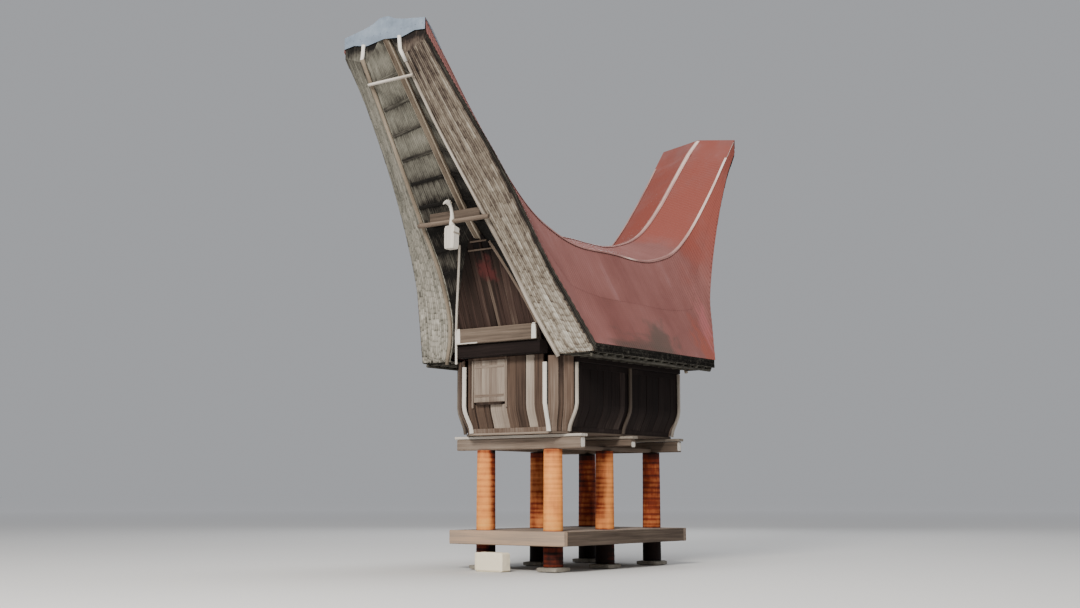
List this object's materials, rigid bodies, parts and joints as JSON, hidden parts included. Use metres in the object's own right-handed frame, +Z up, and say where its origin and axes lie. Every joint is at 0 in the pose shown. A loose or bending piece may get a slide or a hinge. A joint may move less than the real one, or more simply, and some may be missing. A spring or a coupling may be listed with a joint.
{
  "type": "tongkonan rice barn",
  "caption": "Timber granary raised on round posts over a sitting deck, under a boat-shaped roof with high prows at both ends.",
  "frame": {"origin": "on the ground, in the middle of the width and of the length between the two prow tips; the six posts stand 0.21 m farther back, because the front prow is the longer one", "axes": "+X to the right seen from the front, +Y along the house towards the rear prow, +Z up"},
  "size_m": [4.12, 10.635, 9.4926],
  "materials": {
    "palm_wood": "smooth round palm trunks with ring scars, orange-brown, darker in streaks",
    "timber": "rough sawn hardwood weathered grey-brown",
    "wall_boards": "upright boards weathered grey, brown where the old finish is left",
    "gable_boards": "dark red-brown upright boards",
    "limewashed_wood": "wood with a worn off-white limewash",
    "bamboo": "old bamboo, grey-beige and dry, in long layers",
    "roof_sheet": "dusty red-brown paint on thin metal sheet, faded and worn pale on the ridge and creases",
    "zinc_sheet": "dull blue-grey galvanised sheet",
    "stone": "pale rough concrete and stone blocks, stained"
  },
  "bodies": {
    "root": {"footing_front_left": "stone", "post_front_left": "palm_wood", "footing_front_right": "stone", "post_front_right": "palm_wood", "footing_middle_left": "stone", "post_middle_left": "palm_wood", "footing_middle_right": "stone", "post_middle_right": "palm_wood", "footing_rear_left": "stone", "post_rear_left": "palm_wood", "footing_rear_right": "stone", "post_rear_right": "palm_wood", "step_stone": "stone", "deck_floor": "timber", "deck_edge_front": "timber", "deck_edge_rear": "timber", "deck_edge_left": "timber", "deck_edge_right": "timber", "side_beam_left": "timber", "side_beam_right": "timber", "cross_beam_front": "timber", "cross_beam_middle": "timber", "cross_beam_rear": "timber", "granary_floor": "timber", "front_wall": "wall_boards", "rear_wall": "wall_boards", "left_wall": "wall_boards", "right_wall": "wall_boards", "hatch_door": "wall_boards", "corner_panel_front_left": "wall_boards", "pilaster_front_left": "limewashed_wood", "pole_front_left": "bamboo", "corner_panel_front_right": "wall_boards", "pilaster_front_right": "limewashed_wood", "pole_front_right": "bamboo", "corner_panel_rear_left": "wall_boards", "pilaster_rear_left": "limewashed_wood", "pole_rear_left": "bamboo", "corner_panel_rear_right": "wall_boards", "pilaster_rear_right": "limewashed_wood", "pole_rear_right": "bamboo", "eave_plate_left": "timber", "roof_left": "roof_sheet", "eave_plate_right": "timber", "roof_right": "roof_sheet", "ridge_beam": "timber", "gable_beam_front": "timber", "gable_front": "gable_boards", "crosspiece_front": "timber", "upper_bar_front": "limewashed_wood", "bird_figure_front": "limewashed_wood", "tip_cap_front": "zinc_sheet", "gable_beam_rear": "timber", "gable_rear": "gable_boards", "crosspiece_rear": "timber", "upper_bar_rear": "limewashed_wood", "bird_figure_rear": "limewashed_wood", "tip_cap_rear": "roof_sheet"}
  },
  "joints": []
}
